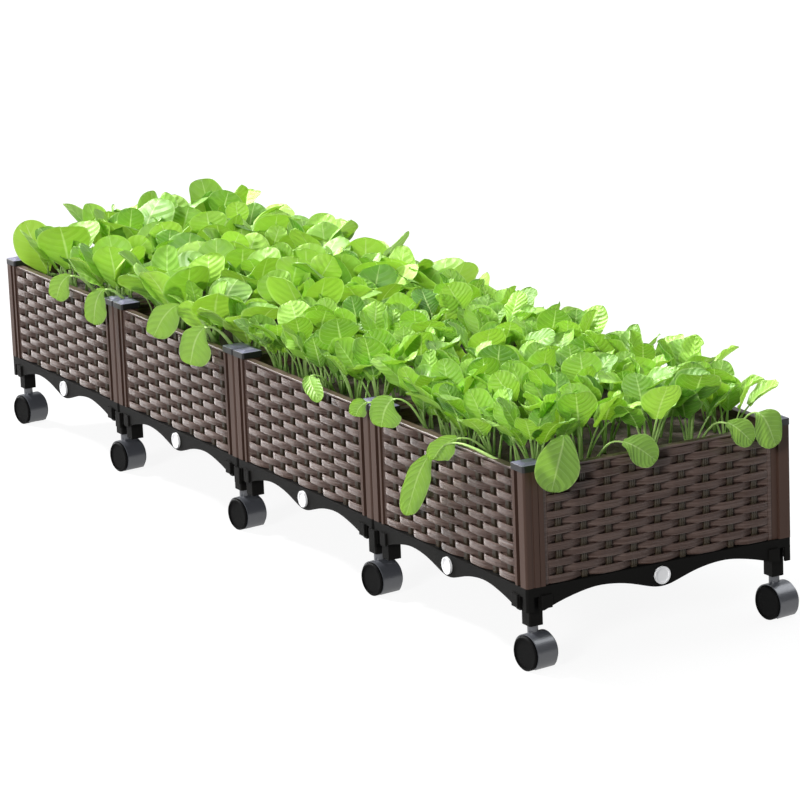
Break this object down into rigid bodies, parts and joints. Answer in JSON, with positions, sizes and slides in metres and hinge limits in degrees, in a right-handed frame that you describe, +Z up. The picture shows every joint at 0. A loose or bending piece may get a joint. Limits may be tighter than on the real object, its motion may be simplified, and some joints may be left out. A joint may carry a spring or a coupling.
{
  "type": "raised planter",
  "caption": "Long raised planter: a row of square woven-look boxes joined end to end, planted with leafy greens, standing on swivelling twin-wheel casters.",
  "frame": {"origin": "on the floor under the centre of the row", "axes": "+X along the row towards its right-hand end, -Y is the long front, +Z up"},
  "size_m": [1.638, 0.424, 0.345],
  "materials": {
    "tray_plastic": "satin charcoal",
    "brown_plastic": "satin brown",
    "woven_plastic": "satin brown, fine lengthwise grain",
    "cap_plastic": "satin black",
    "white_plastic": "satin white",
    "caster_plastic": "satin dark grey",
    "wheel_plastic": "matte black",
    "soil": "crumbly",
    "bok_choy_leaf": "leaf",
    "spinach_leaf": "leaf"
  },
  "bodies": {
    "planter": {"base_tray_1": "tray_plastic", "corner_posts_1": "brown_plastic", "panel_front_1": "woven_plastic", "panel_right_1": "woven_plastic", "panel_back_1": "woven_plastic", "panel_left_1": "woven_plastic", "soil_1": "soil", "greens_1": "bok_choy_leaf", "base_tray_2": "tray_plastic", "corner_posts_2": "brown_plastic", "panel_front_2": "woven_plastic", "panel_right_2": "woven_plastic", "panel_back_2": "woven_plastic", "panel_left_2": "woven_plastic", "soil_2": "soil", "greens_2": "bok_choy_leaf", "base_tray_3": "tray_plastic", "corner_posts_3": "brown_plastic", "panel_front_3": "woven_plastic", "panel_right_3": "woven_plastic", "panel_back_3": "woven_plastic", "panel_left_3": "woven_plastic", "soil_3": "soil", "greens_3": "spinach_leaf", "base_tray_4": "tray_plastic", "corner_posts_4": "brown_plastic", "panel_front_4": "woven_plastic", "panel_right_4": "woven_plastic", "panel_back_4": "woven_plastic", "panel_left_4": "woven_plastic", "soil_4": "soil", "greens_4": "spinach_leaf", "legs": "tray_plastic", "post_caps": "cap_plastic", "side_plugs": "white_plastic", "joining_clips": "tray_plastic"},
    "caster_1": {"caster_hood_1": "caster_plastic"},
    "wheels_1": {"caster_wheels_1": "wheel_plastic"},
    "caster_2": {"caster_hood_2": "caster_plastic"},
    "wheels_2": {"caster_wheels_2": "wheel_plastic"},
    "caster_3": {"caster_hood_3": "caster_plastic"},
    "wheels_3": {"caster_wheels_3": "wheel_plastic"},
    "caster_4": {"caster_hood_4": "caster_plastic"},
    "wheels_4": {"caster_wheels_4": "wheel_plastic"},
    "caster_5": {"caster_hood_5": "caster_plastic"},
    "wheels_5": {"caster_wheels_5": "wheel_plastic"},
    "caster_6": {"caster_hood_6": "caster_plastic"},
    "wheels_6": {"caster_wheels_6": "wheel_plastic"},
    "caster_7": {"caster_hood_7": "caster_plastic"},
    "wheels_7": {"caster_wheels_7": "wheel_plastic"},
    "caster_8": {"caster_hood_8": "caster_plastic"},
    "wheels_8": {"caster_wheels_8": "wheel_plastic"},
    "caster_9": {"caster_hood_9": "caster_plastic"},
    "wheels_9": {"caster_wheels_9": "wheel_plastic"},
    "caster_10": {"caster_hood_10": "caster_plastic"},
    "wheels_10": {"caster_wheels_10": "wheel_plastic"}
  },
  "joints": [
    {"name": "caster_swivel_1", "type": "hinge", "parent": "planter", "child": "caster_1", "pos_m": [-0.7825, -0.1825, 0.056], "axis": [0, 0, 1], "continuous": true},
    {"name": "wheel_roll_1", "type": "hinge", "parent": "caster_1", "child": "wheels_1", "pos_m": [-0.77755, -0.1818, 0.0225], "axis": [-0.1392, 0.9903, 0], "continuous": true},
    {"name": "caster_swivel_2", "type": "hinge", "parent": "planter", "child": "caster_2", "pos_m": [-0.4175, -0.1825, 0.056], "axis": [0, 0, 1], "continuous": true},
    {"name": "wheel_roll_2", "type": "hinge", "parent": "caster_2", "child": "wheels_2", "pos_m": [-0.41255, -0.1818, 0.0225], "axis": [-0.1392, 0.9903, 0], "continuous": true},
    {"name": "caster_swivel_3", "type": "hinge", "parent": "planter", "child": "caster_3", "pos_m": [-0.0175, -0.1825, 0.056], "axis": [0, 0, 1], "continuous": true},
    {"name": "wheel_roll_3", "type": "hinge", "parent": "caster_3", "child": "wheels_3", "pos_m": [-0.01255, -0.1818, 0.0225], "axis": [-0.1392, 0.9903, 0], "continuous": true},
    {"name": "caster_swivel_4", "type": "hinge", "parent": "planter", "child": "caster_4", "pos_m": [0.3825, -0.1825, 0.056], "axis": [0, 0, 1], "continuous": true},
    {"name": "wheel_roll_4", "type": "hinge", "parent": "caster_4", "child": "wheels_4", "pos_m": [0.38745, -0.1818, 0.0225], "axis": [-0.1392, 0.9903, 0], "continuous": true},
    {"name": "caster_swivel_5", "type": "hinge", "parent": "planter", "child": "caster_5", "pos_m": [0.7825, -0.1825, 0.056], "axis": [0, 0, 1], "continuous": true},
    {"name": "wheel_roll_5", "type": "hinge", "parent": "caster_5", "child": "wheels_5", "pos_m": [0.78745, -0.1818, 0.0225], "axis": [-0.1392, 0.9903, 0], "continuous": true},
    {"name": "caster_swivel_6", "type": "hinge", "parent": "planter", "child": "caster_6", "pos_m": [-0.7825, 0.1825, 0.056], "axis": [0, 0, 1], "continuous": true},
    {"name": "wheel_roll_6", "type": "hinge", "parent": "caster_6", "child": "wheels_6", "pos_m": [-0.77755, 0.1832, 0.0225], "axis": [-0.1392, 0.9903, 0], "continuous": true},
    {"name": "caster_swivel_7", "type": "hinge", "parent": "planter", "child": "caster_7", "pos_m": [-0.4175, 0.1825, 0.056], "axis": [0, 0, 1], "continuous": true},
    {"name": "wheel_roll_7", "type": "hinge", "parent": "caster_7", "child": "wheels_7", "pos_m": [-0.41255, 0.1832, 0.0225], "axis": [-0.1392, 0.9903, 0], "continuous": true},
    {"name": "caster_swivel_8", "type": "hinge", "parent": "planter", "child": "caster_8", "pos_m": [-0.0175, 0.1825, 0.056], "axis": [0, 0, 1], "continuous": true},
    {"name": "wheel_roll_8", "type": "hinge", "parent": "caster_8", "child": "wheels_8", "pos_m": [-0.01255, 0.1832, 0.0225], "axis": [-0.1392, 0.9903, 0], "continuous": true},
    {"name": "caster_swivel_9", "type": "hinge", "parent": "planter", "child": "caster_9", "pos_m": [0.3825, 0.1825, 0.056], "axis": [0, 0, 1], "continuous": true},
    {"name": "wheel_roll_9", "type": "hinge", "parent": "caster_9", "child": "wheels_9", "pos_m": [0.38745, 0.1832, 0.0225], "axis": [-0.1392, 0.9903, 0], "continuous": true},
    {"name": "caster_swivel_10", "type": "hinge", "parent": "planter", "child": "caster_10", "pos_m": [0.7825, 0.1825, 0.056], "axis": [0, 0, 1], "continuous": true},
    {"name": "wheel_roll_10", "type": "hinge", "parent": "caster_10", "child": "wheels_10", "pos_m": [0.78745, 0.1832, 0.0225], "axis": [-0.1392, 0.9903, 0], "continuous": true}
  ]
}
